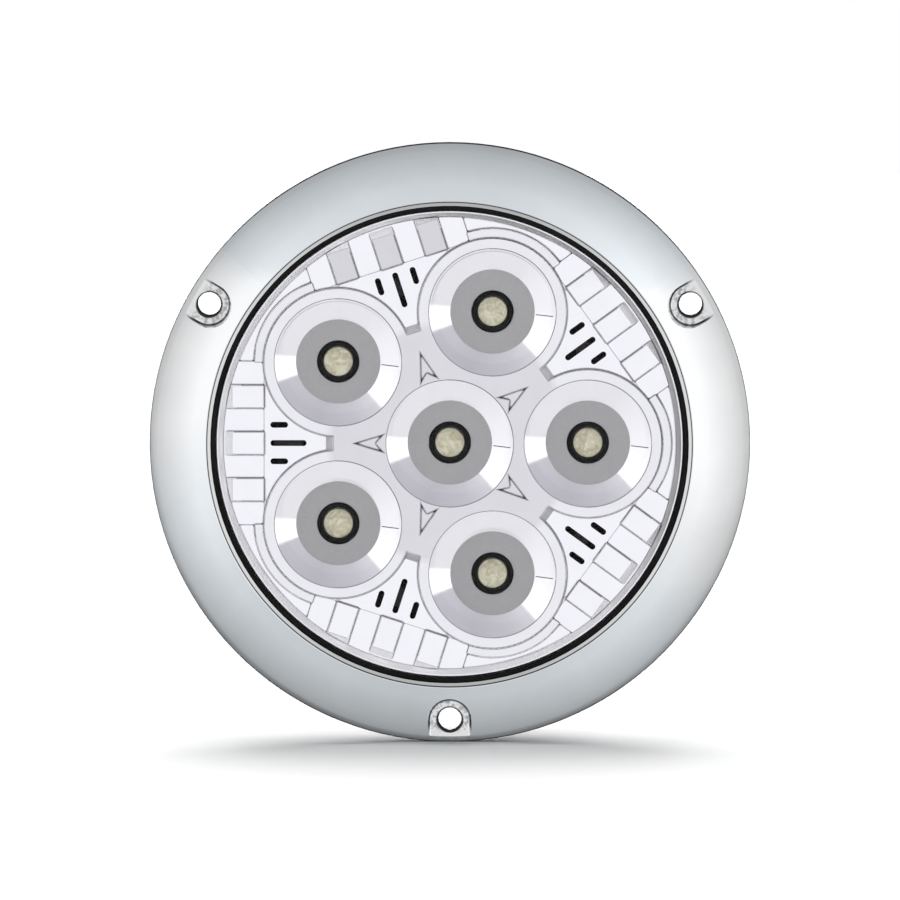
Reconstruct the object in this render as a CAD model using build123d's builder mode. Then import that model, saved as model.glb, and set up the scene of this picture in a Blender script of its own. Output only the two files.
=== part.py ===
from build123d import *
from math import cos, radians, sin, sqrt
import os

# Round flange-mount trailer tail light: a trim bezel over a sealed six-emitter lamp, with a plug-in lead.
#
# Frame: the lamp faces -Y and +Z is up. The origin is the lamp's centre on the face of the panel it mounts on.
# A height is a distance forward of that panel, so it runs along -Y, and heights behind the panel are negative.
# Sizes are in millimetres.

PANEL = Plane.XZ  # x to the viewer's right, y up, normal towards the viewer
PROFILE = Plane((0, 0, 0), x_dir=(1, 0, 0), z_dir=(0, 0, -1))  # x is a radius, y is a height
LAMP_AXIS = Axis.Y

# Driving dimensions of the outside
flange_radius = 69.85
opening_radius = 55.5
lens_radius = 54.3
barrel_radius = 53.2
screw_circle_radius = 64.6
screw_hole_radius = 2.7
screw_angles = (30, 150, 270)

# Driving dimensions of the optics
emitter_circle_radius = 32.1
emitter_angles = (0, 72, 144, 216, 288)
pocket_angles = tuple(angle + 36 for angle in emitter_angles)  # the gaps between neighbouring bowls
bowl_mouth_radius = 14.8
bowl_floor_radius = 9.8
emitter_radius = 4.75
dome_radius = 3.65

# Heights of the stack, front to back
lens_front = 11.0
lens_back = 9.0
reflector_top = 8.3
reflector_web = 6.9
reflector_terrace = 6.2
reflector_pocket = 5.5
reflector_bar = 5.3
reflector_outer = 4.7
reflector_under = 3.5
moulding = 1.2  # wall thickness of the reflector
bowl_floor = 3.4
board_front = 0.4
board_thickness = 1.6
pad_thickness = 0.5
spreader_thickness = 2.0
flange_front = 3.5
gasket_thickness = 1.5
board_back = board_front - board_thickness
pad_back = board_back - pad_thickness
cup_floor = pad_back - spreader_thickness
cup_back = cup_floor - 2.5
barrel_back = -12.6
socket_floor = cup_back - 1.0
socket_back = -22.0

gap = 0.15  # clearance between pieces that are dropped into one another
tight_gap = 0.05  # running clearance


def polar(radius, angle):
    """A point on the panel plane, as the viewer sees it."""
    return (radius * cos(radians(angle)), radius * sin(radians(angle)))


def in_space(point, height):
    """The point in space that stands over a point of the panel plane."""
    return (point[0], -height, point[1])


emitter_centres = [(0, 0)] + [polar(emitter_circle_radius, angle) for angle in emitter_angles]
screw_centres = [polar(screw_circle_radius, angle) for angle in screw_angles]


def slab(back, front, radius, hole_radius=0.0, mode=Mode.ADD):
    """A round slab on the lamp's axis, with or without a round hole."""
    with BuildSketch(PANEL.offset(back)) as outline:
        Circle(radius)
        if hole_radius:
            Circle(hole_radius, mode=Mode.SUBTRACT)
    extrude(outline.sketch, amount=front - back, mode=mode)


def posts(back, front, radius, centres, mode=Mode.ADD):
    """Equal round posts, or holes, at several places."""
    with BuildSketch(PANEL.offset(back)) as outline:
        with Locations(*centres):
            Circle(radius)
    extrude(outline.sketch, amount=front - back, mode=mode)


def turned(points, mode=Mode.ADD):
    """A ring or disc turned about the lamp's axis from a closed outline of (radius, height) points."""
    with BuildSketch(PROFILE) as outline:
        with BuildLine():
            Polyline(*points, close=True)
        make_face()
    revolve(outline.sketch, axis=LAMP_AXIS, mode=mode)


def blocks(back, front, length, width, places, mode=Mode.ADD):
    """Equal rectangular blocks: places are (radius, sideways offset, angle), with length along the radius."""
    with BuildSketch(PANEL.offset(back)) as outline:
        for radius, aside, angle in places:
            x, y = polar(radius, angle)
            across_x, across_y = polar(aside, angle + 90)
            with Locations(Location((x + across_x, y + across_y, 0), (0, 0, angle))):
                Rectangle(length, width)
    extrude(outline.sketch, amount=front - back, mode=mode)


def level_edges(part, height, radius=None):
    """Edges of a part that lie level at a height, or only the round ones of a radius."""
    near = 1e-3
    edges = part.edges().filter_by(lambda edge: edge.bounding_box().size.Y < near)
    edges = edges.filter_by(lambda edge: abs(edge.bounding_box().center().Y + height) < near)
    if radius is None:
        return edges
    return edges.filter_by(GeomType.CIRCLE).filter_by(lambda edge: abs(edge.radius - radius) < near)


def save(shape, label):
    """Label a finished piece and write it as its own file."""
    shape.label = label
    export_step(shape, f"parts/{label}.step")


os.makedirs("parts", exist_ok=True)

# ---------------------------------------------------------------- trim bezel
crown_radius = 20.75  # of the crowned section
crown_centre = (53.3, -8.5)
bezel_wall = 1.8
skirt_back = 1.0
inner_wall_back = 3.55
lip_radius = 56.3  # where the crown steps down to the ledge round the opening
ledge_height = 11.4
crown_end_round = 0.3
rim_round = 0.5
bezel_hole_radius = 3.0
pocket_floor = 5.7
pocket_floor_thickness = 2.15
pocket_radius = 4.8
pocket_wall = 1.5
pocket_draft = 6
pocket_floor_round = 0.5


def crown_height(radius, inset=0.0):
    """Height of the crowned section at a radius, or of a surface inset below it."""
    return crown_centre[1] + sqrt((crown_radius - inset) ** 2 - (radius - crown_centre[0]) ** 2)


def screw_pockets(back, front, radius, taper=0.0, mode=Mode.ADD):
    """U-shaped columns round the screws, open towards the rim."""
    reach = flange_radius - screw_circle_radius + 2
    for angle, centre in zip(screw_angles, screw_centres):
        with BuildSketch(PANEL.offset(back)) as outline:
            with Locations(centre):
                Circle(radius)
            x, y = polar(screw_circle_radius + reach / 2, angle)
            with Locations(Location((x, y, 0), (0, 0, angle))):
                Rectangle(reach, 2 * radius)
        extrude(outline.sketch, amount=front - back, taper=taper, mode=mode)


with BuildPart() as bezel_hollow:
    hollow_inner = opening_radius + bezel_wall
    hollow_outer = flange_radius - bezel_wall
    with BuildSketch(PROFILE) as section:
        with BuildLine():
            Line((hollow_outer, 0), (hollow_outer, crown_height(hollow_outer, bezel_wall)))
            middle = (hollow_inner + hollow_outer) / 2
            ThreePointArc(
                (hollow_outer, crown_height(hollow_outer, bezel_wall)),
                (middle, crown_height(middle, bezel_wall)),
                (hollow_inner, crown_height(hollow_inner, bezel_wall)),
            )
            Polyline(
                (hollow_inner, crown_height(hollow_inner, bezel_wall)), (hollow_inner, 0), (hollow_outer, 0)
            )
        make_face()
    revolve(axis=LAMP_AXIS)
    screw_pockets(
        pocket_floor - pocket_floor_thickness, lens_front, pocket_radius + pocket_wall, mode=Mode.SUBTRACT
    )

with BuildPart() as trim_bezel:
    with BuildSketch(PROFILE):
        with BuildLine():
            crown_end = (lip_radius, crown_height(lip_radius))
            Line((flange_radius, skirt_back), (flange_radius, crown_height(flange_radius)))
            ThreePointArc(
                (flange_radius, crown_height(flange_radius)),
                (screw_circle_radius, crown_height(screw_circle_radius)),
                crown_end,
            )
            # a step down to a narrow ledge finishes the crown at the opening
            Polyline(
                crown_end,
                (lip_radius, ledge_height),
                (opening_radius, ledge_height),
                (opening_radius, inner_wall_back),
                (hollow_outer, inner_wall_back),
                (hollow_outer, skirt_back),
                (flange_radius, skirt_back),
            )
        make_face()
    revolve(axis=LAMP_AXIS)
    add(bezel_hollow.part, mode=Mode.SUBTRACT)
    rims = trim_bezel.edges().filter_by(GeomType.CIRCLE)
    fillet(rims.filter_by(lambda edge: edge.center().Y < -ledge_height - 0.1), crown_end_round)
    fillet(rims.filter_by(lambda edge: abs(edge.radius - flange_radius) < 0.01).sort_by(Axis.Y)[0], rim_round)
    screw_pockets(pocket_floor, lens_front + 2, pocket_radius, taper=-pocket_draft, mode=Mode.SUBTRACT)
    fillet(level_edges(trim_bezel, pocket_floor, pocket_radius), pocket_floor_round)
    posts(0, pocket_floor, bezel_hole_radius, screw_centres, mode=Mode.SUBTRACT)
save(trim_bezel.part, "trim_bezel")

# ------------------------------------------------------------------- housing
cup_radius = 51.4
front_wall_inner = 54.6
front_wall_outer = opening_radius - gap
front_wall_top = lens_front - 0.5
housing_flange_radius = hollow_outer - 0.4
shoulder = reflector_under - 0.1
barrel_chamfer = 0.8
barrel_step = 0.8  # the barrel is slimmer where it passes the gasket
barrel_relief = 0.2
socket_boss_radius = 17.0
socket_radius = 13.6
key_flat = 11.8  # height of the flat that stops the plug going in turned
rib_thickness = 1.8
rib_angles = range(0, 360, 30)
board_screw_circle = 46.5
board_screw_angles = (36, 180, 324)
board_screw_centres = [polar(board_screw_circle, angle) for angle in board_screw_angles]
board_screw_radius = 1.45
pin_circle = 8.5
pin_angles = (90, 210, 330)
pin_centres = [polar(pin_circle, angle) for angle in pin_angles]
pin_radius = 1.6
pin_tail_radius = 0.8
pin_shoulder = cup_floor - 1.5


def keyed_disc(radius, flat, centre_height):
    """Outline of the plug and its socket: a disc with a flat on top."""
    with BuildSketch(PANEL.offset(centre_height)) as outline:
        Circle(radius)
        with Locations((0, flat + radius)):
            Rectangle(2 * radius, 2 * radius, mode=Mode.SUBTRACT)
    return outline.sketch


with BuildPart() as housing:
    turned(
        (
            (0, cup_back),
            (barrel_radius - 2.4, cup_back),
            (barrel_radius - 2.4, barrel_back),
            (barrel_radius - barrel_chamfer, barrel_back),
            (barrel_radius, barrel_back + barrel_chamfer),
            (barrel_radius, -barrel_relief),
            (barrel_radius - barrel_step, -barrel_relief),
            (barrel_radius - barrel_step, gasket_thickness),
            (housing_flange_radius, gasket_thickness),
            (housing_flange_radius, flange_front),
            (front_wall_outer, flange_front),
            (front_wall_outer, front_wall_top),
            (front_wall_inner, front_wall_top),
            (front_wall_inner, shoulder),
            (cup_radius, shoulder),
            (cup_radius, cup_floor),
            (0, cup_floor),
        )
    )
    # stiffening ribs, the bosses for the board screws and the socket boss stand on the back
    rib_inner = socket_boss_radius - 1
    rib_outer = barrel_radius - 1.5
    blocks(
        barrel_back,
        cup_back,
        rib_outer - rib_inner,
        rib_thickness,
        [((rib_inner + rib_outer) / 2, 0, angle) for angle in rib_angles],
    )
    slab(barrel_back, cup_back, 36.9, 35.1)
    posts(barrel_back, cup_back, 3.6, board_screw_centres)
    slab(socket_back, cup_back, socket_boss_radius)
    fillet(housing.edges().filter_by(GeomType.CIRCLE).group_by(Axis.Y)[-1], 0.8)
    # the socket, its terminal holes and the screw holes
    socket = keyed_disc(socket_radius, key_flat, socket_back - 1)
    extrude(socket, amount=socket_floor - socket_back + 1, mode=Mode.SUBTRACT)
    posts(socket_floor, pin_shoulder, pin_radius + tight_gap, pin_centres, mode=Mode.SUBTRACT)
    posts(pin_shoulder, cup_floor, pin_tail_radius + tight_gap, pin_centres, mode=Mode.SUBTRACT)
    posts(cup_back - 4.6, cup_floor, board_screw_radius + tight_gap, board_screw_centres, mode=Mode.SUBTRACT)
    posts(0, flange_front, screw_hole_radius, screw_centres, mode=Mode.SUBTRACT)
save(housing.part, "housing")

# ---------------------------------------------------------- mounting gasket
with BuildPart() as mounting_gasket:
    slab(0, gasket_thickness, housing_flange_radius - 0.4, barrel_radius + 0.4)
    posts(0, gasket_thickness, screw_hole_radius, screw_centres, mode=Mode.SUBTRACT)
save(mounting_gasket.part, "mounting_gasket")

# ------------------------------------------------------ cover lens and seal
lens_edge_round = 0.5
lens_lip_outer = lens_radius - 0.3
lens_lip_inner = lens_lip_outer - 0.8
lens_lip_back = reflector_top + 0.1

with BuildPart() as cover_lens:
    slab(lens_back, lens_front, lens_radius)
    fillet(cover_lens.edges().sort_by(Axis.Y)[0], lens_edge_round)
    slab(lens_lip_back, lens_back, lens_lip_outer, lens_lip_inner)
save(cover_lens.part, "cover_lens")

with BuildPart() as lens_seal:
    slab(lens_back, front_wall_top, front_wall_inner, lens_radius)
save(lens_seal.part, "lens_seal")

# ----------------------------------------------------------------- reflector
reflector_radius = 54.2
outer_floor_radius = 52.6
rim_radius = 17.35  # outside of the flat rim round each bowl
terrace_radius = 19.5
bar_pitch = 5.42
bars = 7
band_half_width = bars * bar_pitch / 2
block_start = 43.1
block_end = 52.2
block_slope = 1.6
block_top = 6.5
web_radius = 27.1
web_ramp = 1.7
emitter_hole_radius = emitter_radius + 0.2
slot_width = 1.36
slot_outer_end = 41.7
long_slot = 8.4
short_slot = 4.1
slot_spacing = 4.25
dart_tip = 22.1
dart_notch = 17.3
dart_barb = 15.5
dart_half_width = 2.0
dart_depth = 0.7
dart_round = 0.2
edge_round = 0.25
mouth_round = 0.4
rim_edge_round = 0.3
seam_angle = -4
seam_width = 0.2
seam_depth = 0.15
seam_margin = 0.3


def bowl_outline(inset):
    """Half section of a bowl about its own axis: the reflecting surface, or one inset behind it."""
    slope = sqrt((bowl_mouth_radius - bowl_floor_radius) ** 2 + (reflector_web - bowl_floor) ** 2)
    across = inset * slope / (reflector_web - bowl_floor)
    return (
        (0, bowl_floor - inset),
        (bowl_floor_radius + across - inset * 0.5, bowl_floor - inset),
        (bowl_mouth_radius + across, reflector_web),
        (0, reflector_web),
    )


def at_bowls(points, mode):
    """Turn a closed outline about the axis of each bowl."""
    for centre in emitter_centres:
        with BuildSketch(Plane(in_space(centre, 0), x_dir=(1, 0, 0), z_dir=(0, 0, -1))) as outline:
            with BuildLine():
                Polyline(*points, close=True)
            make_face()
        revolve(outline.sketch, axis=Axis(in_space(centre, 0), (0, 1, 0)), mode=mode)


with BuildPart() as reflector:
    slab(reflector_under, reflector_outer, reflector_radius)
    # terraces round the outer bowls, cleared where the seven-bar bands run out to the rim
    posts(reflector_outer, reflector_terrace, terrace_radius, emitter_centres[1:])
    band_start = emitter_circle_radius * cos(radians(36)) - 6
    band_length = reflector_radius - band_start
    band = [(band_start + band_length / 2, 0, angle) for angle in pocket_angles]
    blocks(reflector_outer, reflector_terrace, band_length, 2 * band_half_width, band, mode=Mode.SUBTRACT)
    blocks(reflector_outer, reflector_pocket, band_length, 2 * band_half_width, band)
    # the bars lie a little deeper than the slots, which leaves a crease between them
    bar_length = reflector_radius - block_start
    bar_zones = [(block_start + bar_length / 2, 0, angle) for angle in pocket_angles]
    blocks(reflector_bar, reflector_pocket, bar_length, 2 * band_half_width, bar_zones, mode=Mode.SUBTRACT)
    # raised blocks on every second bar, each with a sloping outer end
    for angle in pocket_angles:
        along = Vector(in_space(polar(1, angle), 0))
        across = Vector(in_space(polar(1, angle + 90), 0))
        for step in (-2, 0, 2):
            with BuildSketch(Plane(across * (step * bar_pitch), x_dir=along, z_dir=-across)) as side:
                with BuildLine():
                    Polyline(
                        (block_start, reflector_bar),
                        (block_start, block_top),
                        (block_end - block_slope, block_top),
                        (block_end, reflector_bar),
                        close=True,
                    )
                make_face()
            extrude(side.sketch, amount=bar_pitch / 2, both=True)
    fillet(level_edges(reflector, block_top), edge_round)
    # flat rims round the bowls, and the web that joins them round the centre
    posts(reflector_under, reflector_web, rim_radius, emitter_centres)
    turned(
        (
            (0, reflector_under),
            (web_radius + web_ramp, reflector_under),
            (web_radius + web_ramp, reflector_pocket),
            (web_radius, reflector_web),
            (0, reflector_web),
        )
    )
    # everything past the outer floor makes room for the chamfered rim
    slab(reflector_under, reflector_web, 2 * reflector_radius, outer_floor_radius, mode=Mode.SUBTRACT)
    turned(
        (
            (outer_floor_radius, reflector_under),
            (reflector_radius, reflector_under),
            (reflector_radius, reflector_top),
            (reflector_radius - 0.5, reflector_top),
            (outer_floor_radius, reflector_outer),
        )
    )
    # bowls: the wall behind each, then the hollow and the emitter's hole
    at_bowls(bowl_outline(moulding), Mode.ADD)
    at_bowls(bowl_outline(0), Mode.SUBTRACT)
    posts(bowl_floor - moulding, bowl_floor, emitter_hole_radius, emitter_centres, mode=Mode.SUBTRACT)
    # softened edges
    fillet(level_edges(reflector, reflector_web, bowl_mouth_radius), mouth_round)
    fillet(
        level_edges(reflector, reflector_web, rim_radius) + level_edges(reflector, reflector_web, web_radius),
        rim_edge_round,
    )
    fillet(level_edges(reflector, reflector_terrace, terrace_radius), edge_round)
    fillet(level_edges(reflector, reflector_top), edge_round / 2)
    # vent slots, three to a pocket, with their outer ends in line
    slot_rows = ((0, long_slot), (-slot_spacing, short_slot), (slot_spacing, short_slot))
    with BuildSketch(PANEL.offset(reflector_under - 1)) as slots:
        for angle in pocket_angles:
            for aside, length in slot_rows:
                x, y = polar(slot_outer_end - length / 2, angle)
                across_x, across_y = polar(aside, angle + 90)
                with Locations(Location((x + across_x, y + across_y, 0), (0, 0, angle))):
                    SlotOverall(length, slot_width)
    extrude(slots.sketch, amount=reflector_top - reflector_under + 1, mode=Mode.SUBTRACT)
    # shallow darts where the web narrows between bowls
    with BuildSketch(PANEL.offset(reflector_web - dart_depth)) as darts:
        for angle in pocket_angles:
            with BuildLine(Location((0, 0, 0), (0, 0, angle))) as dart:
                Polyline(
                    (dart_tip, 0),
                    (dart_barb, dart_half_width),
                    (dart_notch, 0),
                    (dart_barb, -dart_half_width),
                    close=True,
                )
            make_face()
    extrude(darts.sketch, amount=dart_depth, mode=Mode.SUBTRACT)
    fillet(level_edges(reflector, reflector_web).filter_by(GeomType.LINE), dart_round)
    # a fine parting seam runs up the wall of each bowl, and stops short of its edges
    slope = (reflector_web - bowl_floor) / (bowl_mouth_radius - bowl_floor_radius)
    seam_inner = bowl_floor_radius + seam_margin
    seam_outer = bowl_mouth_radius - mouth_round - seam_margin
    seam_bottom = bowl_floor + slope * seam_margin
    seam_top = bowl_floor + slope * (seam_outer - bowl_floor_radius)
    along = Vector(in_space(polar(1, seam_angle), 0))
    across = Vector(in_space(polar(1, seam_angle + 90), 0))
    for centre in emitter_centres:
        with BuildSketch(Plane(in_space(centre, 0), x_dir=along, z_dir=-across)) as seam:
            with BuildLine():
                Polyline(
                    (seam_inner - seam_depth, seam_bottom + seam_depth),
                    (seam_inner + seam_depth, seam_bottom - seam_depth),
                    (seam_outer + seam_depth, seam_top - seam_depth),
                    (seam_outer - seam_depth, seam_top + seam_depth),
                    close=True,
                )
            make_face()
        extrude(seam.sketch, amount=seam_width / 2, both=True, mode=Mode.SUBTRACT)
save(reflector.part, "reflector")

# ------------------------------------------------------------------ emitters
emitter_top = bowl_floor + 0.5
emitter_step = board_front + 1.8  # seat of the dome inside the body
slug_radius = 3.0
slug_top = board_front + 1.4
phosphor_radius = 2.9
dome_top = bowl_floor + 2.0
emitter_lead_length = 1.9
emitter_lead_width = 1.5
emitter_lead_thickness = 0.3


def at_emitters(points):
    """Turn a closed outline about the axis of each emitter."""
    at_bowls(points, Mode.ADD)


with BuildPart() as emitter_bodies:
    at_emitters(
        (
            (slug_radius + tight_gap, board_front),
            (emitter_radius, board_front),
            (emitter_radius, emitter_top - 0.4),
            (emitter_radius - 0.3, emitter_top),
            (dome_radius + tight_gap, emitter_top),
            (dome_radius + tight_gap, emitter_step),
            (slug_radius + tight_gap, emitter_step),
        )
    )
save(emitter_bodies.part, "emitter_bodies")

with BuildPart() as emitter_slugs:
    posts(board_front, slug_top, slug_radius, emitter_centres)
save(emitter_slugs.part, "emitter_slugs")

with BuildPart() as emitter_phosphors:
    posts(slug_top, emitter_step - tight_gap, phosphor_radius, emitter_centres)
save(emitter_phosphors.part, "emitter_phosphors")

with BuildPart() as emitter_domes:
    rise = dome_top - emitter_top
    sphere = (dome_radius**2 + rise**2) / (2 * rise)
    half_way = dome_top - sphere + sqrt(sphere**2 - (dome_radius / 2) ** 2)
    for centre in emitter_centres:
        with BuildSketch(Plane(in_space(centre, 0), x_dir=(1, 0, 0), z_dir=(0, 0, -1))) as outline:
            with BuildLine():
                shoulder_point = (dome_radius, emitter_top)
                Polyline((0, dome_top), (0, emitter_step), (dome_radius, emitter_step), shoulder_point)
                ThreePointArc(shoulder_point, (dome_radius / 2, half_way), (0, dome_top))
            make_face()
        revolve(outline.sketch, axis=Axis(in_space(centre, 0), (0, 1, 0)))
save(emitter_domes.part, "emitter_domes")

with BuildPart() as emitter_leads:
    reach = emitter_radius + tight_gap + emitter_lead_length / 2
    blocks(
        board_front,
        board_front + emitter_lead_thickness,
        emitter_lead_length,
        emitter_lead_width,
        [(side * reach, 0, 0) for side in (-1, 1)],
    )
    blocks(
        board_front,
        board_front + emitter_lead_thickness,
        emitter_lead_width,
        emitter_lead_length,
        [(emitter_circle_radius, side * reach, angle) for angle in emitter_angles for side in (-1, 1)],
    )
save(emitter_leads.part, "emitter_leads")

# ------------------------------------------- board, pad, spreader and screws
board_radius = cup_radius - 0.4
pin_clearance_radius = pin_tail_radius + 0.9  # keeps the live pins off the metal plate
screw_clearance_radius = board_screw_radius + gap
board_screw_head_radius = 2.8
board_screw_head = 1.6
board_screw_tip = cup_back - 4.0
drive_length = 3.0
drive_width = 0.7
drive_depth = 0.9


def board_layer(back, front, radius, pin_hole_radius):
    """One round layer of the stack, drilled for the pins and the screws."""
    slab(back, front, radius)
    posts(back, front, pin_hole_radius, pin_centres, mode=Mode.SUBTRACT)
    posts(back, front, screw_clearance_radius, board_screw_centres, mode=Mode.SUBTRACT)


with BuildPart() as circuit_board:
    board_layer(board_back, board_front, board_radius, pin_tail_radius + tight_gap)
save(circuit_board.part, "circuit_board")

with BuildPart() as thermal_pad:
    board_layer(pad_back, board_back, board_radius - 0.3, pin_clearance_radius)
save(thermal_pad.part, "thermal_pad")

with BuildPart() as heat_spreader:
    board_layer(cup_floor, pad_back, board_radius, pin_clearance_radius)
save(heat_spreader.part, "heat_spreader")

with BuildPart() as board_screws:
    posts(board_screw_tip, board_front, board_screw_radius, board_screw_centres)
    posts(board_front, board_front + board_screw_head, board_screw_head_radius, board_screw_centres)
    chamfer(board_screws.edges().filter_by(GeomType.CIRCLE).group_by(Axis.Y)[0], 0.5)
    head_top = board_front + board_screw_head
    crosses = [
        (board_screw_circle, 0, angle) for angle in board_screw_angles
    ]
    blocks(head_top - drive_depth, head_top, drive_length, drive_width, crosses, mode=Mode.SUBTRACT)
    blocks(head_top - drive_depth, head_top, drive_width, drive_length, crosses, mode=Mode.SUBTRACT)
save(board_screws.part, "board_screws")

# ------------------------------------------------- electronics on the board
chip_angles = (108, 252)
chip_radius = 38.0
chip_body = (4.9, 3.9, 1.5)  # along the radius, across, high
chip_stand_off = 0.2
chip_pin_pitch = 1.27
chip_pins_per_side = 4
chip_pin = (0.45, 1.0, 0.3)
resistor_radius = 20.0
resistor_body = (6.3, 3.2, 0.6)
capacitor_radius = 46.5
capacitor_body = (4.3, 7.3, 2.8)
suppressor_place = (37.5, 0, 180)
suppressor_body = (7.0, 6.0, 2.3)
diode_radius = 38.0
diode_angles = (36, 324)
diode_body = (4.3, 2.6, 2.2)

with BuildPart() as driver_chips:
    blocks(
        board_front + chip_stand_off,
        board_front + chip_stand_off + chip_body[2],
        chip_body[0],
        chip_body[1],
        [(chip_radius, 0, angle) for angle in chip_angles],
    )
    chamfer(driver_chips.edges().group_by(Axis.Y)[0], 0.25)
save(driver_chips.part, "driver_chips")

with BuildPart() as chip_pins:
    first = (chip_pins_per_side - 1) / 2
    blocks(
        board_front,
        board_front + chip_stand_off + chip_pin[2],
        chip_pin[0],
        chip_pin[1],
        [
            (chip_radius + (row - first) * chip_pin_pitch, side * (chip_body[1] + chip_pin[1]) / 2, angle)
            for angle in chip_angles
            for row in range(chip_pins_per_side)
            for side in (-1, 1)
        ],
    )
save(chip_pins.part, "chip_pins")

with BuildPart() as sense_resistors:
    blocks(
        board_front,
        board_front + resistor_body[2],
        resistor_body[0],
        resistor_body[1],
        [(resistor_radius, 0, angle) for angle in pocket_angles],
    )
save(sense_resistors.part, "sense_resistors")

with BuildPart() as filter_capacitors:
    blocks(
        board_front,
        board_front + capacitor_body[2],
        capacitor_body[0],
        capacitor_body[1],
        [(capacitor_radius, 0, angle) for angle in chip_angles],
    )
    chamfer(filter_capacitors.edges().group_by(Axis.Y)[0], 0.4)
save(filter_capacitors.part, "filter_capacitors")

with BuildPart() as surge_suppressor:
    blocks(
        board_front,
        board_front + suppressor_body[2],
        suppressor_body[0],
        suppressor_body[1],
        [suppressor_place],
    )
    chamfer(surge_suppressor.edges().group_by(Axis.Y)[0], 0.4)
save(surge_suppressor.part, "surge_suppressor")

with BuildPart() as polarity_diodes:
    blocks(
        board_front,
        board_front + diode_body[2],
        diode_body[0],
        diode_body[1],
        [(diode_radius, 0, angle) for angle in diode_angles],
    )
    chamfer(polarity_diodes.edges().group_by(Axis.Y)[0], 0.4)
save(polarity_diodes.part, "polarity_diodes")

# ------------------------------------------------------------- terminal pins
pin_tip = socket_back + 4.0
pin_tail_end = board_front + 0.8
solder_radius = 1.7
solder_height = 0.7

with BuildPart() as terminal_pins:
    posts(pin_tip, pin_shoulder, pin_radius, pin_centres)
    chamfer(terminal_pins.edges().filter_by(GeomType.CIRCLE).group_by(Axis.Y)[-1], 0.6)
    posts(pin_shoulder, pin_tail_end, pin_tail_radius, pin_centres)
save(terminal_pins.part, "terminal_pins")

with BuildPart() as solder_joints:
    for centre in pin_centres:
        with BuildSketch(Plane(in_space(centre, 0), x_dir=(1, 0, 0), z_dir=(0, 0, -1))) as outline:
            with BuildLine():
                Polyline(
                    (pin_tail_radius, board_front),
                    (solder_radius, board_front),
                    (pin_tail_radius + 0.25, board_front + solder_height),
                    (pin_tail_radius, board_front + solder_height),
                    close=True,
                )
            make_face()
        revolve(outline.sketch, axis=Axis(in_space(centre, 0), (0, 1, 0)))
save(solder_joints.part, "solder_joints")

# --------------------------------------------------------------- plug and lead
plug_radius = 13.2
plug_rib_radius = 13.45
plug_flat = key_flat - 0.2
plug_front = socket_floor - 0.3
grip_front = socket_back - 0.3
grip_back = -31.5
grip_radius = 15.5
terminal_outer = 2.2
terminal_front = plug_front - 0.5
terminal_back = pin_tip - 1.0
wire_radius = 1.5
core_radius = 0.7
tinned_radius = 0.9
wire_spacing = 4.0
wire_height = -27.4
boss_bottom = -21.0
wire_start = boss_bottom + 4.5
wire_turn = -28.0
wire_turn_radius = 12.0
wire_tail = 7.0
strip_length = 8.0
sleeve_top = boss_bottom - 0.5
sleeve_bottom = wire_turn + 0.5
sleeve_wall = 0.7

with BuildPart() as plug_body:
    extrude(keyed_disc(plug_radius, plug_flat, grip_front - 1), amount=plug_front - grip_front + 1)
    for rib_height in (-13.0, -16.0, -19.0):
        extrude(keyed_disc(plug_rib_radius, plug_flat, rib_height), amount=1)
    with BuildSketch(PANEL.offset(grip_back)) as grip:
        Circle(grip_radius)
        with Locations((0, boss_bottom / 2)):
            Rectangle(2 * wire_spacing + 8, -boss_bottom)
    extrude(grip.sketch, amount=grip_front - grip_back)
    fillet(plug_body.faces().sort_by(Axis.Y)[-1].outer_wire().edges(), 2.0)
    # finger grooves across the boss
    for level in (-16.5, -18.5):
        with Locations(Location((0, -grip_back, level))):
            Box(2 * wire_spacing + 8, 1.2, 0.8, mode=Mode.SUBTRACT)
    posts(terminal_back - gap, plug_front, terminal_outer + tight_gap, pin_centres, mode=Mode.SUBTRACT)
    with BuildSketch(Plane.XY.offset(boss_bottom)) as wire_holes:
        with Locations(*[(x, -wire_height) for x in (-wire_spacing, 0, wire_spacing)]):
            Circle(wire_radius + tight_gap)
    extrude(wire_holes.sketch, amount=wire_start + gap - boss_bottom, mode=Mode.SUBTRACT)
save(plug_body.part, "plug_body")

with BuildPart() as socket_terminals:
    posts(terminal_back, terminal_front, terminal_outer, pin_centres)
    posts(pin_tip - 0.2, terminal_front, pin_radius + tight_gap, pin_centres, mode=Mode.SUBTRACT)
save(socket_terminals.part, "socket_terminals")


def lead(x, outer_radius, hole_radius, tail):
    """One lead: down out of the plug, round a bend, then along to its end."""
    bend = wire_turn_radius - x
    with BuildLine(PANEL.offset(wire_height)) as route:
        Line((x, wire_start), (x, wire_turn))
        JernArc(start=(x, wire_turn), tangent=(0, -1), radius=bend, arc_size=90)
        Line((x + bend, wire_turn - bend), (x + bend + tail, wire_turn - bend))
    with BuildSketch(Plane(in_space((x, wire_start), wire_height), z_dir=(0, 0, -1))) as end:
        Circle(outer_radius)
        if hole_radius:
            Circle(hole_radius, mode=Mode.SUBTRACT)
    sweep(end.sketch, path=route.wires()[0])


lead_places = {"stop_lead": -wire_spacing, "ground_lead": 0, "tail_lead": wire_spacing}
for name, x in lead_places.items():
    with BuildPart() as insulation:
        lead(x, wire_radius, core_radius + tight_gap, wire_tail)
    save(insulation.part, name)

with BuildPart() as lead_cores:
    for x in lead_places.values():
        lead(x, core_radius, 0, wire_tail + gap)
        # the bared end is twisted and tinned, so it is a little thicker than the core
        bend = wire_turn_radius - x
        bared = in_space((x + bend + wire_tail + gap, wire_turn - bend), wire_height)
        with BuildSketch(Plane(bared, z_dir=(1, 0, 0))) as tip:
            Circle(tinned_radius)
        extrude(tip.sketch, amount=strip_length)
save(lead_cores.part, "lead_cores")

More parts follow.
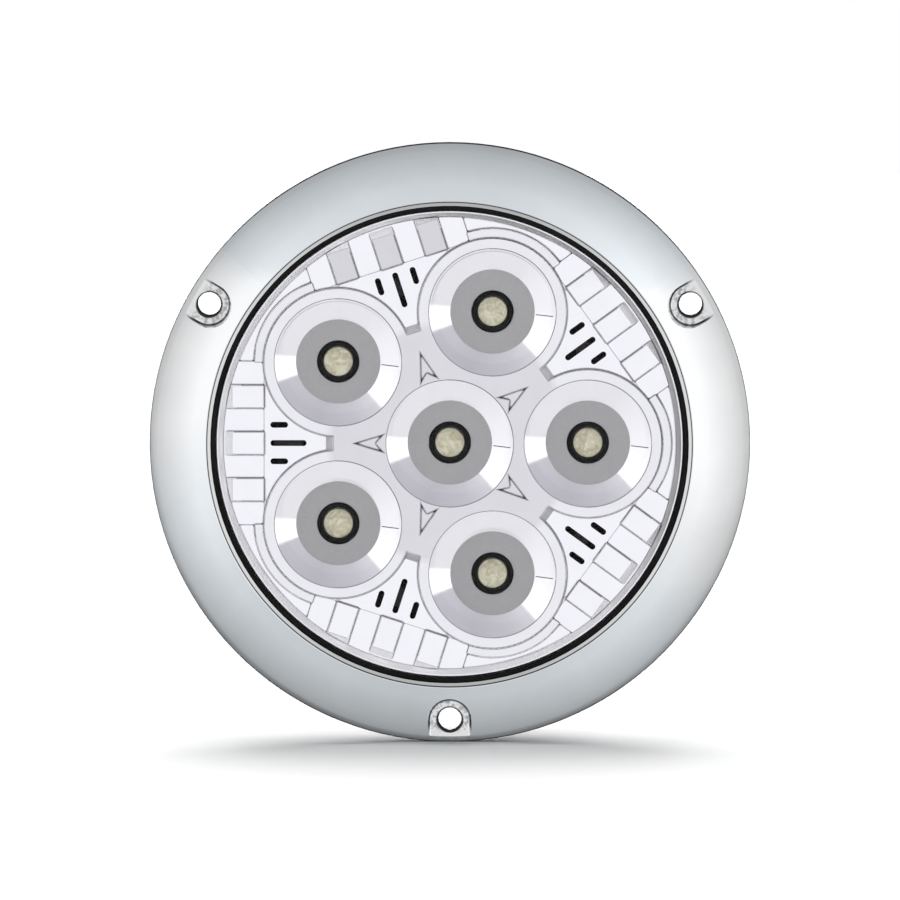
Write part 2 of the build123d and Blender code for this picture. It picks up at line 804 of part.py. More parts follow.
with BuildPart() as lead_sleeve:
    bundle_width = 2 * (wire_spacing + wire_radius + tight_gap)
    bundle_depth = 2 * (wire_radius + tight_gap)
    with BuildSketch(Plane.XY.offset(sleeve_bottom)):
        with Locations((0, -wire_height)):
            SlotOverall(bundle_width + 2 * sleeve_wall, bundle_depth + 2 * sleeve_wall)
            SlotOverall(bundle_width, bundle_depth, mode=Mode.SUBTRACT)
    extrude(amount=sleeve_top - sleeve_bottom)
save(lead_sleeve.part, "lead_sleeve")
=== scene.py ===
import math

import bmesh
import bpy
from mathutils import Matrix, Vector


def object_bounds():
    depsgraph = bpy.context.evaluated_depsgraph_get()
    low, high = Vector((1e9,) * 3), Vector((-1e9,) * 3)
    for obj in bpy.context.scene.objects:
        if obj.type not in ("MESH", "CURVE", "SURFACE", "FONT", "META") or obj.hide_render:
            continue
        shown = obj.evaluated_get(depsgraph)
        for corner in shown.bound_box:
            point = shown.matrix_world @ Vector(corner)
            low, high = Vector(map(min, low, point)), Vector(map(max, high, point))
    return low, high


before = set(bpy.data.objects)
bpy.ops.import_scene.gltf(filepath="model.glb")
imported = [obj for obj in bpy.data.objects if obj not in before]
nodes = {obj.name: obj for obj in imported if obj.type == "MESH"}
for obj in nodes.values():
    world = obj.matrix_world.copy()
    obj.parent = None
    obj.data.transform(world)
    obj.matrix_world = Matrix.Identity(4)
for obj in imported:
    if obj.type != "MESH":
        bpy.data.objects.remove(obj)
cad_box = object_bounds()

MM = 0.001
NEAR_BLACK = (0.03, 0.03, 0.035)

# the lamp, in millimetres: heights in front of the panel, and radii
POCKET_FLOOR = 5.7  # floor of the hollow round each screw
BOWL_FLOOR = 3.4
BLOCK_TOP = 6.5  # flat tops of the bars out at the reflector's rim
WEB = 6.9  # the web between the bowls
HOUSING_RIM = 9.5  # in front of this the housing shows only as the dark ring round the lens
WEB_RADIUS = 27.1  # where the web slopes down
FROSTED_FROM = 50.2  # the reflector's slopes outside this are frosted
LEDGE = 56.3  # outside of the flat ledge round the bezel's opening
RIM_SHADE = 69.55  # from this radius out the bezel carries a painted shade stripe at its edge
SCREWS = 3
SCREW_ANGLE = 30  # the first screw, in degrees
SCREW_CIRCLE = 64.6
SCREW_HOLE = 3.0
POCKET = 4.8

# the studio, in metres, degrees and world strengths
FLOOR_REACH = 3.0
CAMERA_DISTANCE = 2.5
CAMERA_FIELD = 0.2097  # width seen at the aim point
CAMERA_TURN = 0.6
CAMERA_RISE = 4.0
CAMERA_AIM = -0.00198
CARDS = 1.15
OVERHEAD = 5.0
INSIDE_LIGHT = 1.4


# ------------------------------------------------------------------ shader helpers
def start_material(name):
    """A material with one Principled shader; returns the material, its tree and the shader."""
    material = bpy.data.materials.new(name)
    material.use_nodes = True
    tree = material.node_tree
    tree.nodes.clear()
    output = tree.nodes.new("ShaderNodeOutputMaterial")
    shader = tree.nodes.new("ShaderNodeBsdfPrincipled")
    tree.links.new(shader.outputs["BSDF"], output.inputs["Surface"])
    return material, tree, shader


def feed(tree, socket, value):
    """Set an input to a value, or link it to an output."""
    if isinstance(value, bpy.types.NodeSocket):
        tree.links.new(value, socket)
    elif isinstance(value, tuple) and len(value) == 3 and socket.type == "RGBA":
        socket.default_value = (*value, 1)
    else:
        socket.default_value = value


def place(tree, stretch=(1, 1, 1)):
    """Object coordinates in millimetres, stretched along the axes."""
    coordinates = tree.nodes.new("ShaderNodeTexCoord")
    mapping = tree.nodes.new("ShaderNodeMapping")
    mapping.inputs["Scale"].default_value = [1 / (MM * s) for s in stretch]
    tree.links.new(coordinates.outputs["Object"], mapping.inputs["Vector"])
    return mapping.outputs["Vector"]


def noise(tree, size, detail=3.0, stretch=(1, 1, 1), distortion=0.0):
    """Smooth noise whose blobs are about size millimetres across."""
    texture = tree.nodes.new("ShaderNodeTexNoise")
    texture.inputs["Scale"].default_value = 1 / size
    texture.inputs["Detail"].default_value = detail
    texture.inputs["Distortion"].default_value = distortion
    tree.links.new(place(tree, stretch), texture.inputs["Vector"])
    return texture.outputs["Fac"]


def cells(tree, size):
    """Cell pattern, about size millimetres across."""
    texture = tree.nodes.new("ShaderNodeTexVoronoi")
    texture.inputs["Scale"].default_value = 1 / size
    tree.links.new(place(tree), texture.inputs["Vector"])
    return texture.outputs["Distance"]


def spread(tree, value, low, high, start=0.3, end=0.7):
    """Map a value from start..end to low..high."""
    node = tree.nodes.new("ShaderNodeMapRange")
    node.inputs["From Min"].default_value = start
    node.inputs["From Max"].default_value = end
    node.inputs["To Min"].default_value = low
    node.inputs["To Max"].default_value = high
    tree.links.new(value, node.inputs["Value"])
    return node.outputs["Result"]


def blend_colours(tree, factor, first, second):
    """The first colour where the factor is 0 and the second where it is 1."""
    node = tree.nodes.new("ShaderNodeMix")
    node.data_type = "RGBA"
    feed(tree, node.inputs["Factor"], factor)
    feed(tree, node.inputs[6], first)
    feed(tree, node.inputs[7], second)
    return node.outputs[2]


def maths(tree, operation, first, second=0.0, third=0.0):
    """One Math node. Each operand is a number or an output."""
    node = tree.nodes.new("ShaderNodeMath")
    node.operation = operation
    for socket, value in zip(node.inputs, (first, second, third)):
        feed(tree, socket, value)
    return node.outputs[0]


def product(tree, *factors):
    """All the factors multiplied together."""
    result = factors[0]
    for factor in factors[1:]:
        result = maths(tree, "MULTIPLY", result, factor)
    return result


def bump(tree, height, depth):
    """A normal from a height that spans depth millimetres."""
    node = tree.nodes.new("ShaderNodeBump")
    node.inputs["Strength"].default_value = 1
    node.inputs["Distance"].default_value = depth * MM
    tree.links.new(height, node.inputs["Height"])
    return node.outputs["Normal"]


def position(tree):
    """Separate object coordinates, in metres."""
    coordinates = tree.nodes.new("ShaderNodeTexCoord")
    split = tree.nodes.new("ShaderNodeSeparateXYZ")
    tree.links.new(coordinates.outputs["Object"], split.inputs["Vector"])
    return split.outputs


def radius_of(tree, split):
    """Distance from the lamp's axis, in metres."""
    return length_of(tree, split["Z"], split["X"])


def from_screw(tree, split, out):
    """Millimetres out and sideways from the nearest screw's axis."""
    half_share = math.pi / SCREWS
    angle = maths(tree, "ARCTAN2", split["Z"], split["X"])
    angle = maths(tree, "SUBTRACT", angle, math.radians(SCREW_ANGLE))
    angle = maths(tree, "WRAP", angle, half_share, -half_share)
    out = maths(tree, "DIVIDE", out, MM)
    outward = maths(tree, "MULTIPLY_ADD", out, maths(tree, "COSINE", angle), -SCREW_CIRCLE)
    return outward, maths(tree, "MULTIPLY", out, maths(tree, "SINE", angle))


def length_of(tree, first, second):
    """Length of the vector with these two parts."""
    squares = maths(tree, "MULTIPLY_ADD", first, first, maths(tree, "MULTIPLY", second, second))
    return maths(tree, "SQRT", squares)


def band(tree, value, low, high):
    """1 where a value lies between low and high."""
    above = maths(tree, "GREATER_THAN", value, low)
    return maths(tree, "MULTIPLY", above, maths(tree, "LESS_THAN", value, high))


def mixed(tree, mask, level):
    """The level where the mask is 1, and 1 elsewhere."""
    return maths(tree, "MULTIPLY_ADD", mask, maths(tree, "SUBTRACT", level, 1.0), 1.0)


def grey_of(tree, level):
    """The same level in all three channels."""
    node = tree.nodes.new("ShaderNodeCombineXYZ")
    for socket in node.inputs:
        tree.links.new(level, socket)
    return node.outputs["Vector"]


def vectors(tree, operation, first, second):
    node = tree.nodes.new("ShaderNodeVectorMath")
    node.operation = operation
    tree.links.new(first, node.inputs[0])
    tree.links.new(second, node.inputs[1])
    return node.outputs["Vector"]


def multiply(tree, first, second):
    return vectors(tree, "MULTIPLY", first, second)


def plus(tree, first, second):
    return vectors(tree, "ADD", first, second)


def corners(tree, reach):
    """Ambient occlusion: near 0 in the corners of a piece and 1 in the open, looking reach millimetres
    around. Used to paint shade into corners.
    """
    node = tree.nodes.new("ShaderNodeAmbientOcclusion")
    node.samples = 8
    node.only_local = True
    node.inputs["Distance"].default_value = reach * MM
    return node.outputs["AO"]


def let_light_through(material, tint=(1, 1, 1)):
    """Shadow and diffuse rays pass a clear material straight, so what is behind it is lit."""
    tree = material.node_tree
    output = next(n for n in tree.nodes if n.type == "OUTPUT_MATERIAL")
    shader = output.inputs["Surface"].links[0].from_socket
    path = tree.nodes.new("ShaderNodeLightPath")
    either = maths(tree, "MAXIMUM", path.outputs["Is Shadow Ray"], path.outputs["Is Diffuse Ray"])
    clear = tree.nodes.new("ShaderNodeBsdfTransparent")
    feed(tree, clear.inputs["Color"], tint)
    mix = tree.nodes.new("ShaderNodeMixShader")
    tree.links.new(either, mix.inputs["Fac"])
    tree.links.new(shader, mix.inputs[1])
    tree.links.new(clear.outputs["BSDF"], mix.inputs[2])
    tree.links.new(mix.outputs["Shader"], output.inputs["Surface"])


# ------------------------------------------------------------------------ materials
def metal(name, colour, darker, roughness, grain=8.0, stretch=(1, 1, 1), depth=0.002):
    """Bare metal: colour clouds, roughness that varies over it and a fine grain."""
    material, tree, shader = start_material(name)
    clouds = noise(tree, grain, 4)
    fine = noise(tree, grain / 30, 3, stretch)
    tone = blend_colours(tree, spread(tree, clouds, 0, 1), colour, darker)
    feed(tree, shader.inputs["Base Color"], tone)
    feed(tree, shader.inputs["Metallic"], 1.0)
    cloudy = spread(tree, clouds, roughness * 0.8, roughness * 1.2)
    rough = maths(tree, "ADD", cloudy, spread(tree, fine, 0, roughness * 0.4))
    feed(tree, shader.inputs["Roughness"], rough)
    feed(tree, shader.inputs["Normal"], bump(tree, fine, depth))
    return material


def plastic(name, colour, lighter, roughness, grain=0.25, depth=0.01, sheen=0.0, gloss=0.5):
    """Moulded plastic or rubber: a fine skin texture over slow colour clouds."""
    material, tree, shader = start_material(name)
    clouds = noise(tree, 12, 4)
    skin = noise(tree, grain, 2)
    tone = blend_colours(tree, spread(tree, clouds, 0, 1), colour, lighter)
    feed(tree, shader.inputs["Base Color"], tone)
    cloudy = spread(tree, clouds, roughness - 0.05, roughness + 0.05)
    rough = maths(tree, "ADD", cloudy, spread(tree, skin, -0.04, 0.04))
    feed(tree, shader.inputs["Roughness"], rough)
    feed(tree, shader.inputs["Normal"], bump(tree, skin, depth))
    shader.inputs["Sheen Weight"].default_value = sheen
    shader.inputs["Specular IOR Level"].default_value = gloss
    return material


def chrome():
    """Bright plating over moulded plastic: almost a mirror, with faint flow waves and polishing haze, and
    painted shade in its corners, at its edge, on the ledge and in the screw hollows.
    """
    material, tree, shader = start_material("bezel_chrome")
    haze = noise(tree, 9, 5, distortion=0.6)
    specks = noise(tree, 0.5, 2)
    colour = blend_colours(tree, spread(tree, haze, 0, 1), (0.87, 0.875, 0.88), (0.84, 0.85, 0.86))
    split = position(tree)
    out = radius_of(tree, split)
    side = maths(tree, "ABSOLUTE", split["X"])

    # painted shade: dark in the corners, a dark stripe at the flange's edge and a greyer ledge round the
    # opening, both darker at top and bottom than at the sides, and a dark stripe in the crease round the
    # ledge at the opening
    corner_shade = spread(tree, corners(tree, 1.3), 0.03, 1, 0.42, 0.68)
    at_edge = spread(tree, out, 0, 1, RIM_SHADE * MM, (RIM_SHADE + 0.15) * MM)
    rim_shade_tone = spread(tree, side, 0.12, 0.7, 40 * MM, 62 * MM)
    ledge = maths(tree, "LESS_THAN", out, (LEDGE - 0.1) * MM)
    ledge_shade_tone = spread(tree, side, 0.6, 0.98, 15 * MM, 50 * MM)
    crease = band(tree, out, (LEDGE - 0.1) * MM, (LEDGE + 0.16) * MM)

    # painted shade in the hollows round the screws: a dark stripe along the wall, a rough mottle over the
    # cast floor, a dark ring round the hole
    outward, sideways = from_screw(tree, split, out)
    from_wall = length_of(tree, maths(tree, "MINIMUM", outward, 0.0), sideways)
    from_hole = length_of(tree, outward, sideways)
    closing = spread(tree, outward, 1.0, 0.0, 1.0, 3.2)  # they fade out toward the flange's edge
    sunk = maths(tree, "GREATER_THAN", split["Y"], -(POCKET_FLOOR + 0.3) * MM)
    sunk = product(tree, sunk, maths(tree, "LESS_THAN", from_wall, POCKET + 0.5), closing)
    floor_shade = spread(tree, noise(tree, 0.9, 3), 0.5, 1.0, 0.38, 0.55)
    wall_shade = product(tree, band(tree, from_wall, POCKET - 0.25, POCKET + 0.30), closing)
    wall_shade_tone = spread(tree, noise(tree, 2.5, 2), 0.06, 0.4)
    hole_shade = product(tree, maths(tree, "LESS_THAN", from_hole, SCREW_HOLE + 0.22), sunk)

    tones = (
        (at_edge, rim_shade_tone), (ledge, ledge_shade_tone), (crease, 0.12),
        (sunk, floor_shade), (wall_shade, wall_shade_tone), (hole_shade, 0.15),
    )
    shade = product(tree, corner_shade, *(mixed(tree, mask, tone) for mask, tone in tones))
    feed(tree, shader.inputs["Base Color"], blend_colours(tree, shade, NEAR_BLACK, colour))
    feed(tree, shader.inputs["Metallic"], 1.0)
    rough = maths(tree, "ADD", spread(tree, haze, 0.04, 0.08), spread(tree, specks, 0.0, 0.02))
    feed(tree, shader.inputs["Roughness"], rough)
    feed(tree, shader.inputs["Normal"], bump(tree, noise(tree, 14, 2), 0.006))
    return material


def metallised():
    """Vacuum-metallised plastic: bright webs and bowl walls, satin floors in the bowls, frosted rim, and
    painted shade along the steps, on the bar tops and at the rim's upper right.
    """
    material, tree, shader = start_material("reflector_silver")
    haze = noise(tree, 6, 4)
    specks = noise(tree, 0.35, 2)
    split = position(tree)
    out = radius_of(tree, split)
    facing = tree.nodes.new("ShaderNodeSeparateXYZ")
    tree.links.new(tree.nodes.new("ShaderNodeNewGeometry").outputs["Normal"], facing.inputs["Vector"])
    bright = blend_colours(tree, spread(tree, haze, 0, 1), (0.905, 0.90, 0.91), (0.88, 0.877, 0.887))

    # the high flats are a little darker, darkest inside the web's edge, and the bar tops carry painted
    # shade, darker toward the top
    level_face = maths(tree, "LESS_THAN", facing.outputs["Y"], -0.97)
    high_up = maths(tree, "LESS_THAN", split["Y"], -(WEB - 0.8) * MM)
    tops = band(tree, split["Y"], -(BLOCK_TOP + 0.1) * MM, -(BLOCK_TOP - 0.1) * MM)
    raised = maths(tree, "MULTIPLY", level_face, maths(tree, "SUBTRACT", high_up, tops))
    inner = spread(tree, out, 0.78, 0.92, 27 * MM, 29 * MM)
    slant = maths(tree, "MULTIPLY_ADD", split["X"], -0.25, split["Z"])
    shaded = spread(tree, slant, 1.0, 0.74, 28 * MM, 42 * MM)
    level = product(tree, mixed(tree, raised, inner), mixed(tree, tops, shaded))
    toned = multiply(tree, bright, grey_of(tree, level))

    # painted shade: thin dark stripes in the corners along the steps
    lines = spread(tree, corners(tree, 0.6), 0, 1, 0.54, 0.86)
    edged = blend_colours(tree, lines, NEAR_BLACK, toned)

    # satin: the bowl floors, and the slope from the web down to the bars
    is_floor = maths(tree, "GREATER_THAN", split["Y"], -(BOWL_FLOOR + 0.02) * MM)
    outward = maths(tree, "MULTIPLY", facing.outputs["X"], split["X"])
    outward = maths(tree, "MULTIPLY_ADD", facing.outputs["Z"], split["Z"], outward)
    outward = maths(tree, "GREATER_THAN", outward, maths(tree, "MULTIPLY", out, 0.5))
    ramp = maths(tree, "MULTIPLY", outward, band(tree, out, (WEB_RADIUS - 0.2) * MM, (WEB_RADIUS + 2) * MM))
    satin = blend_colours(tree, spread(tree, specks, 0, 1), (0.41, 0.41, 0.41), (0.365, 0.365, 0.365))

    # frosted: the slopes out at the rim, with a painted shadow that darkens them toward the lens's edge on
    # the upper right
    sloping = maths(tree, "GREATER_THAN", facing.outputs["Y"], -0.95)
    frosted = maths(tree, "MULTIPLY", sloping, maths(tree, "GREATER_THAN", out, FROSTED_FROM * MM))
    to_right = maths(tree, "MULTIPLY_ADD", split["Z"], 0.5, maths(tree, "MULTIPLY", split["X"], 0.87))
    to_right = spread(tree, to_right, 0.0, 1.0, 5 * MM, 35 * MM)
    outermost = spread(tree, out, 0.0, 1.0, 51 * MM, 54 * MM)
    rim_shadow = maths(tree, "MULTIPLY_ADD", maths(tree, "MULTIPLY", to_right, outermost), -0.62, 1.0)
    rim_tone = grey_of(tree, maths(tree, "MULTIPLY", rim_shadow, 0.98))

    dull_colour = blend_colours(tree, frosted, satin, rim_tone)
    dull_colour = blend_colours(tree, ramp, dull_colour, (0.52, 0.52, 0.54))
    dull = maths(tree, "MAXIMUM", maths(tree, "MAXIMUM", is_floor, ramp), frosted)
    feed(tree, shader.inputs["Base Color"], blend_colours(tree, dull, edged, dull_colour))
    feed(tree, shader.inputs["Metallic"], maths(tree, "MULTIPLY_ADD", dull, -0.95, 1.0))
    shiny = spread(tree, haze, 0.04, 0.07)
    feed(tree, shader.inputs["Roughness"], maths(tree, "MULTIPLY_ADD", dull, 0.5, shiny))
    feed(tree, shader.inputs["Normal"], bump(tree, noise(tree, 5, 2), 0.003))
    return material


def clear_plastic(name, colour, roughness=0.0, index=1.49):
    """Clear moulded plastic or silicone with a hint of surface haze."""
    material, tree, shader = start_material(name)
    feed(tree, shader.inputs["Base Color"], colour)
    shader.inputs["Transmission Weight"].default_value = 1
    shader.inputs["IOR"].default_value = index
    feed(tree, shader.inputs["Roughness"], spread(tree, noise(tree, 3, 3), roughness, roughness + 0.015))
    let_light_through(material, colour)
    return material


def clear_sheet(name, tint, index):
    """A flat clear moulding: see-through head on, more of a mirror at a slant.

    The mirror works on the way in only, so light from inside the lamp always gets out.
    """
    material, tree, shader = start_material(name)
    haze = noise(tree, 7, 3)
    feed(tree, shader.inputs["Base Color"], blend_colours(tree, haze, (1.0, 1.0, 1.0), (0.93, 0.94, 0.96)))
    feed(tree, shader.inputs["Metallic"], 1.0)
    feed(tree, shader.inputs["Roughness"], spread(tree, haze, 0.01, 0.04))
    feed(tree, shader.inputs["Normal"], bump(tree, noise(tree, 18, 2), 0.003))
    angle = tree.nodes.new("ShaderNodeFresnel")
    angle.inputs["IOR"].default_value = index
    side = tree.nodes.new("ShaderNodeNewGeometry")
    going_in = maths(tree, "SUBTRACT", 1.0, side.outputs["Backfacing"])
    mirror = maths(tree, "MULTIPLY", angle.outputs["Fac"], going_in)
    clear = tree.nodes.new("ShaderNodeBsdfTransparent")
    feed(tree, clear.inputs["Color"], tint)
    mix = tree.nodes.new("ShaderNodeMixShader")
    tree.links.new(mirror, mix.inputs["Fac"])
    tree.links.new(clear.outputs["BSDF"], mix.inputs[1])
    tree.links.new(shader.outputs["BSDF"], mix.inputs[2])
    output = next(n for n in tree.nodes if n.type == "OUTPUT_MATERIAL")
    tree.links.new(mix.outputs["Shader"], output.inputs["Surface"])
    return material


def phosphor():
    """Yellow phosphor under the dome, mottled."""
    material, tree, shader = start_material("phosphor_yellow")
    blotches = noise(tree, 1.6, 5, distortion=1.2)
    mottle = spread(tree, blotches, 0, 1, 0.35, 0.65)
    yellow = blend_colours(tree, mottle, (0.86, 0.84, 0.70), (0.55, 0.52, 0.38))
    feed(tree, shader.inputs["Base Color"], yellow)
    feed(tree, shader.inputs["Roughness"], spread(tree, blotches, 0.35, 0.6))
    feed(tree, shader.inputs["Normal"], bump(tree, noise(tree, 0.25, 3), 0.03))
    return material


def circuit_board():
    """Black solder mask with the raised lines of the copper under it."""
    material, tree, shader = start_material("board_black")
    tracks = tree.nodes.new("ShaderNodeTexBrick")
    tracks.inputs["Scale"].default_value = 0.4
    tracks.inputs["Mortar Size"].default_value = 0.02
    tree.links.new(place(tree), tracks.inputs["Vector"])
    tone = blend_colours(tree, tracks.outputs["Fac"], (0.005, 0.006, 0.006), (0.012, 0.015, 0.014))
    feed(tree, shader.inputs["Base Color"], tone)
    feed(tree, shader.inputs["Roughness"], spread(tree, noise(tree, 2, 3), 0.4, 0.5))
    shader.inputs["Specular IOR Level"].default_value = 0.1
    feed(tree, shader.inputs["Normal"], bump(tree, tracks.outputs["Fac"], 0.03))
    return material


def housing_plastic():
    """Grained black plastic, duller on the narrow rim round the lens."""
    material = plastic("housing_black", (0.010, 0.010, 0.011), (0.018, 0.018, 0.019), 0.42, grain=0.3)
    tree = material.node_tree
    shader = next(n for n in tree.nodes if n.type == "BSDF_PRINCIPLED")
    is_rim = maths(tree, "LESS_THAN", position(tree)["Y"], -HOUSING_RIM * MM)
    feed(tree, shader.inputs["Specular IOR Level"], maths(tree, "MULTIPLY_ADD", is_rim, -0.45, 0.5))
    return material


def foam():
    """Closed-cell foam: fine pits in a dull black sheet."""
    material, tree, shader = start_material("gasket_foam")
    pits = cells(tree, 0.5)
    tone = blend_colours(tree, pits, (0.03, 0.03, 0.031), (0.055, 0.055, 0.056))
    feed(tree, shader.inputs["Base Color"], tone)
    feed(tree, shader.inputs["Roughness"], spread(tree, noise(tree, 4, 3), 0.85, 0.95))
    feed(tree, shader.inputs["Normal"], bump(tree, pits, 0.12))
    return material


def paint(node, material):
    """Give a CAD node its one material."""
    slots = nodes[node].data.materials
    slots.clear()
    slots.append(material)


def insulation(name, colour, lighter, roughness=0.32):
    """Smooth insulation of a lead."""
    return plastic(name, colour, lighter, roughness, grain=1.5, depth=0.003)


def dull_black(name, colour, lighter):
    """Black that hardly shines, for the parts that show as plain black in the photo."""
    return plastic(name, colour, lighter, 0.5, gloss=0.1)


brass = metal("pin_brass", (0.83, 0.66, 0.33), (0.72, 0.55, 0.26), 0.22)
tin = metal("lead_tin", (0.75, 0.75, 0.73), (0.62, 0.62, 0.61), 0.3)
epoxy = plastic("chip_black", (0.022, 0.022, 0.023), (0.035, 0.035, 0.036), 0.5)
looks = {
    "trim_bezel": chrome(),
    "housing": housing_plastic(),
    "mounting_gasket": foam(),
    "cover_lens": clear_sheet("lens_clear", (0.99, 0.99, 1.0), 1.22),
    "lens_seal": dull_black("seal_black", (0.004, 0.004, 0.004), (0.007, 0.007, 0.007)),
    "reflector": metallised(),
    "circuit_board": circuit_board(),
    "thermal_pad": plastic("pad_grey", (0.42, 0.44, 0.47), (0.36, 0.38, 0.41), 0.75),
    "heat_spreader": metal(
        "spreader_aluminium", (0.8, 0.8, 0.81), (0.7, 0.7, 0.71), 0.3, stretch=(20, 1, 1)
    ),
    "emitter_bodies": dull_black("emitter_black", (0.004, 0.004, 0.004), (0.008, 0.008, 0.008)),
    "emitter_slugs": metal("slug_copper", (0.8, 0.5, 0.34), (0.66, 0.38, 0.25), 0.28),
    "emitter_phosphors": phosphor(),
    "emitter_domes": clear_plastic("dome_clear", (0.98, 0.975, 0.94), 0.02, 1.41),
    "emitter_leads": tin,
    "board_screws": metal("screw_zinc", (0.72, 0.73, 0.75), (0.6, 0.61, 0.62), 0.25),
    "driver_chips": epoxy,
    "chip_pins": tin,
    "sense_resistors": plastic("resistor_black", (0.02, 0.02, 0.022), (0.04, 0.04, 0.042), 0.25),
    "filter_capacitors": plastic("capacitor_body", (0.55, 0.4, 0.12), (0.48, 0.34, 0.1), 0.4),
    "surge_suppressor": epoxy,
    "polarity_diodes": epoxy,
    "terminal_pins": brass,
    "solder_joints": metal("solder_tin", (0.78, 0.78, 0.76), (0.66, 0.66, 0.65), 0.18),
    "plug_body": plastic(
        "plug_black", (0.022, 0.022, 0.023), (0.036, 0.036, 0.038), 0.55, grain=0.4, sheen=0.1
    ),
    "socket_terminals": brass,
    "stop_lead": insulation("wire_red", (0.5, 0.03, 0.025), (0.58, 0.05, 0.04)),
    "ground_lead": insulation("wire_white", (0.78, 0.78, 0.76), (0.7, 0.7, 0.68), 0.34),
    "tail_lead": insulation("wire_brown", (0.13, 0.06, 0.03), (0.17, 0.085, 0.045)),
    "lead_cores": metal("core_copper", (0.85, 0.52, 0.36), (0.7, 0.4, 0.26), 0.3),
    "lead_sleeve": plastic("sleeve_black", (0.018, 0.018, 0.018), (0.03, 0.03, 0.03), 0.5),
}
for node, material in looks.items():
    paint(node, material)


# ---------------------------------------------------------------------------- studio
def studio_floor():
    """A wide pale sheet that the lamp stands on. Mirrors and clear parts don't see it."""
    floor_level = cad_box[0].z
    shape = bmesh.new()
    bmesh.ops.create_grid(shape, x_segments=1, y_segments=1, size=FLOOR_REACH)
    bmesh.ops.translate(shape, verts=shape.verts, vec=(0, 0, floor_level))
    mesh = bpy.data.meshes.new("studio_floor")
    shape.to_mesh(mesh)
    shape.free()
    sheet = bpy.data.objects.new("studio_floor", mesh)
    bpy.context.scene.collection.objects.link(sheet)
    material, tree, shader = start_material("floor_white")
    feed(tree, shader.inputs["Base Color"], (0.94, 0.94, 0.94))
    feed(tree, shader.inputs["Roughness"], 1.0)
    shader.inputs["Specular IOR Level"].default_value = 0
    mesh.materials.append(material)
    sheet.visible_glossy = False
    sheet.visible_transmission = False


def ramp_of(tree, value, stops):
    """A colour ramp with (place, brightness or colour) stops."""
    node = tree.nodes.new("ShaderNodeValToRGB")
    elements = node.color_ramp.elements
    while len(elements) > 1:
        elements.remove(elements[-1])
    for index, (at, tone) in enumerate(stops):
        element = elements[0] if index == 0 else elements.new(at)
        element.position = at
        element.color = (*tone, 1) if isinstance(tone, tuple) else (tone, tone, tone, 1)
    tree.links.new(value, node.inputs["Fac"])
    return node.outputs["Color"]


def cool(level):
    """A grey that leans to blue."""
    return (level * 0.955, level, level * 1.035)


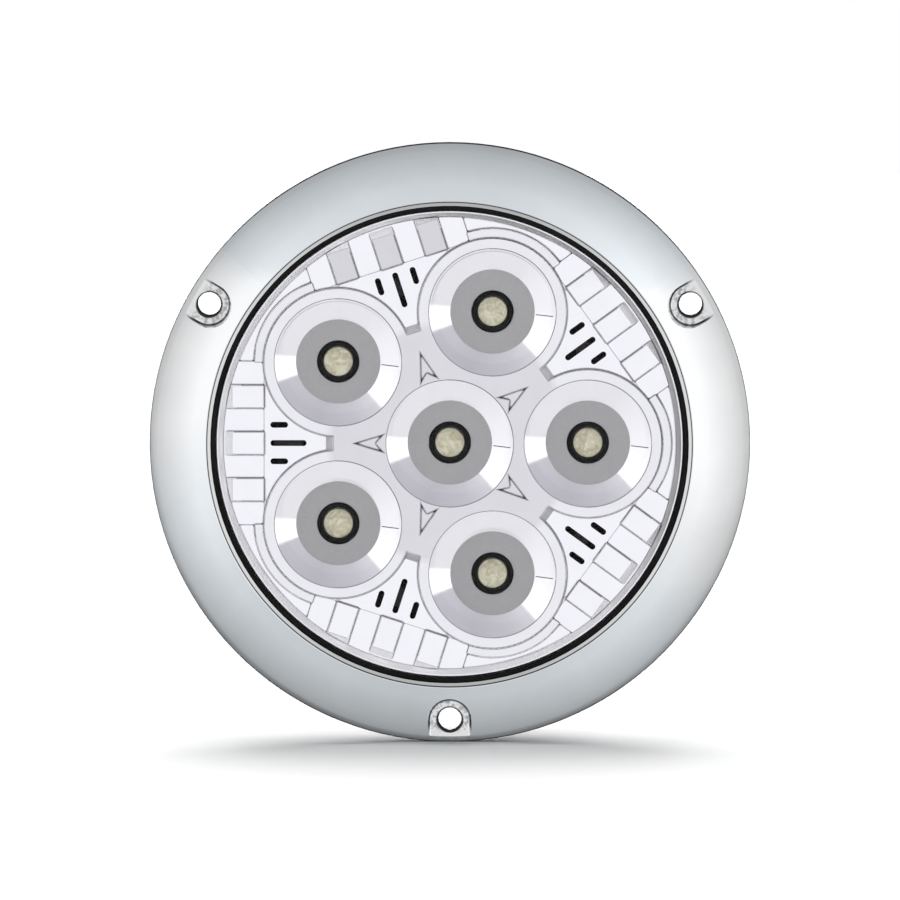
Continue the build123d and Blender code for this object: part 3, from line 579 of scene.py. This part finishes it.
def studio_world():
    """Plain white to the camera. Other rays see soft cards, which differ by what they left.

    Shiny surfaces outside the lamp see white cards at both sides with soft grey between them. The
    reflector behind the lens sees its own set. Dull surfaces are lit by a wide soft light overhead.
    """
    world = bpy.data.worlds.new("studio")
    bpy.context.scene.world = world
    world.use_nodes = True
    tree = world.node_tree
    tree.nodes.clear()
    coordinates = tree.nodes.new("ShaderNodeTexCoord")
    split = tree.nodes.new("ShaderNodeSeparateXYZ")
    tree.links.new(coordinates.outputs["Generated"], split.inputs["Vector"])
    x, y, z = (split.outputs[axis] for axis in "XYZ")
    around = maths(tree, "MULTIPLY_ADD", maths(tree, "ARCTAN2", z, x), 1 / (2 * math.pi), 0.5)
    away = maths(tree, "DIVIDE", maths(tree, "ARCCOSINE", maths(tree, "MULTIPLY", y, -1.0)), math.pi)

    def ring(*stops):
        """Tones at angles round the lamp's axis, from its right side through its top."""
        return ramp_of(tree, around, [((degrees + 180) / 360, tone) for degrees, tone in stops])

    def reach(*stops):
        """Tones at angles away from straight in front of the lamp."""
        return ramp_of(tree, away, [(degrees / 180, tone) for degrees, tone in stops])

    # what the bezel mirrors
    cards = ring(
        (-180, 0.96), (-160, cool(0.84)), (-135, cool(0.63)), (-100, cool(0.53)), (-75, cool(0.58)),
        (-45, cool(0.74)), (-25, 0.88), (-12, 1.0), (31, 1.0), (35, cool(0.92)), (60, cool(0.73)),
        (80, cool(0.64)), (100, cool(0.645)), (125, cool(0.70)), (142, cool(0.79)), (148, 0.95), (180, 0.96),
    )
    fall = reach(
        (12, 0.0), (20, 1.03), (37, 1.0), (56, 0.88), (75, 0.77),
        (90, 0.67), (100, 0.57), (108, 0.05), (180, 0.04),
    )
    outside = plus(tree, multiply(tree, cards, fall), reach((0, 0.74), (12, 0.74), (20, 0.0)))

    # what the reflector mirrors out through the lens: the front, and the ring that its bowls catch
    lilac = (0.915, 0.915, 0.93)
    seen_flat = reach((0, lilac), (9, lilac), (16, 0.25), (50, 0.25), (56, 0.0))
    dusky, darkest, paler = (0.56, 0.555, 0.58), (0.49, 0.485, 0.515), (0.70, 0.695, 0.71)
    bowls = ring(
        (-180, 0.97), (-150, 0.90), (-120, 0.80), (-12, 0.80), (-9, 1.2), (13, 1.2),
        (16, dusky), (70, darkest), (110, dusky), (136, paler), (139, 1.2), (180, 1.0),
    )
    seen_bowls = reach((50, 0.0), (58, 1.0), (83, 1.0), (88, 0.10), (180, 0.05))
    inside = plus(tree, multiply(tree, bowls, seen_bowls), seen_flat)

    # what lights the dull surfaces: a soft light overhead, a little behind the lamp, narrow side to side
    narrowed = maths(tree, "MULTIPLY_ADD", maths(tree, "MULTIPLY", x, x), -0.9, z)
    overhead = maths(tree, "MULTIPLY_ADD", y, 0.4, narrowed)
    soft = ramp_of(tree, overhead, ((0.0, 0.03), (0.78, 0.03), (0.93, 1.0)))

    def backdrop(strength, colour=(1, 1, 1)):
        node = tree.nodes.new("ShaderNodeBackground")
        feed(tree, node.inputs["Color"], colour)
        node.inputs["Strength"].default_value = strength
        return node.outputs["Background"]

    def choose(factor, first, second):
        node = tree.nodes.new("ShaderNodeMixShader")
        tree.links.new(factor, node.inputs["Fac"])
        tree.links.new(first, node.inputs[1])
        tree.links.new(second, node.inputs[2])
        return node.outputs["Shader"]

    # a ray that has crossed both faces of the lens comes from inside the lamp
    path = tree.nodes.new("ShaderNodeLightPath")
    through = maths(tree, "GREATER_THAN", path.outputs["Transparent Depth"], 1.5)
    mirrored = choose(through, backdrop(CARDS, outside), backdrop(CARDS, inside))
    lit = choose(through, backdrop(OVERHEAD, soft), backdrop(INSIDE_LIGHT))
    by_ray = choose(path.outputs["Is Diffuse Ray"], mirrored, lit)
    shown = choose(path.outputs["Is Camera Ray"], by_ray, backdrop(1.0))
    output = tree.nodes.new("ShaderNodeOutputWorld")
    tree.links.new(shown, output.inputs["Surface"])


def photo_camera():
    """Nearly square on, a little above the lamp's axis, from far enough off to look flat."""
    turn, rise = math.radians(CAMERA_TURN), math.radians(CAMERA_RISE)
    aim = Vector((0, 0, CAMERA_AIM))
    lens = bpy.data.cameras.new("photo_camera")
    lens.sensor_width = 36
    lens.lens = lens.sensor_width * CAMERA_DISTANCE / CAMERA_FIELD
    camera = bpy.data.objects.new("photo_camera", lens)
    away = Vector((math.sin(turn) * math.cos(rise), -math.cos(turn) * math.cos(rise), math.sin(rise)))
    camera.location = aim + CAMERA_DISTANCE * away
    camera.rotation_euler = (-away).to_track_quat("-Z", "Y").to_euler()
    bpy.context.scene.collection.objects.link(camera)
    bpy.context.scene.camera = camera


studio_floor()
studio_world()
photo_camera()
bpy.context.scene.view_settings.view_transform = "Standard"
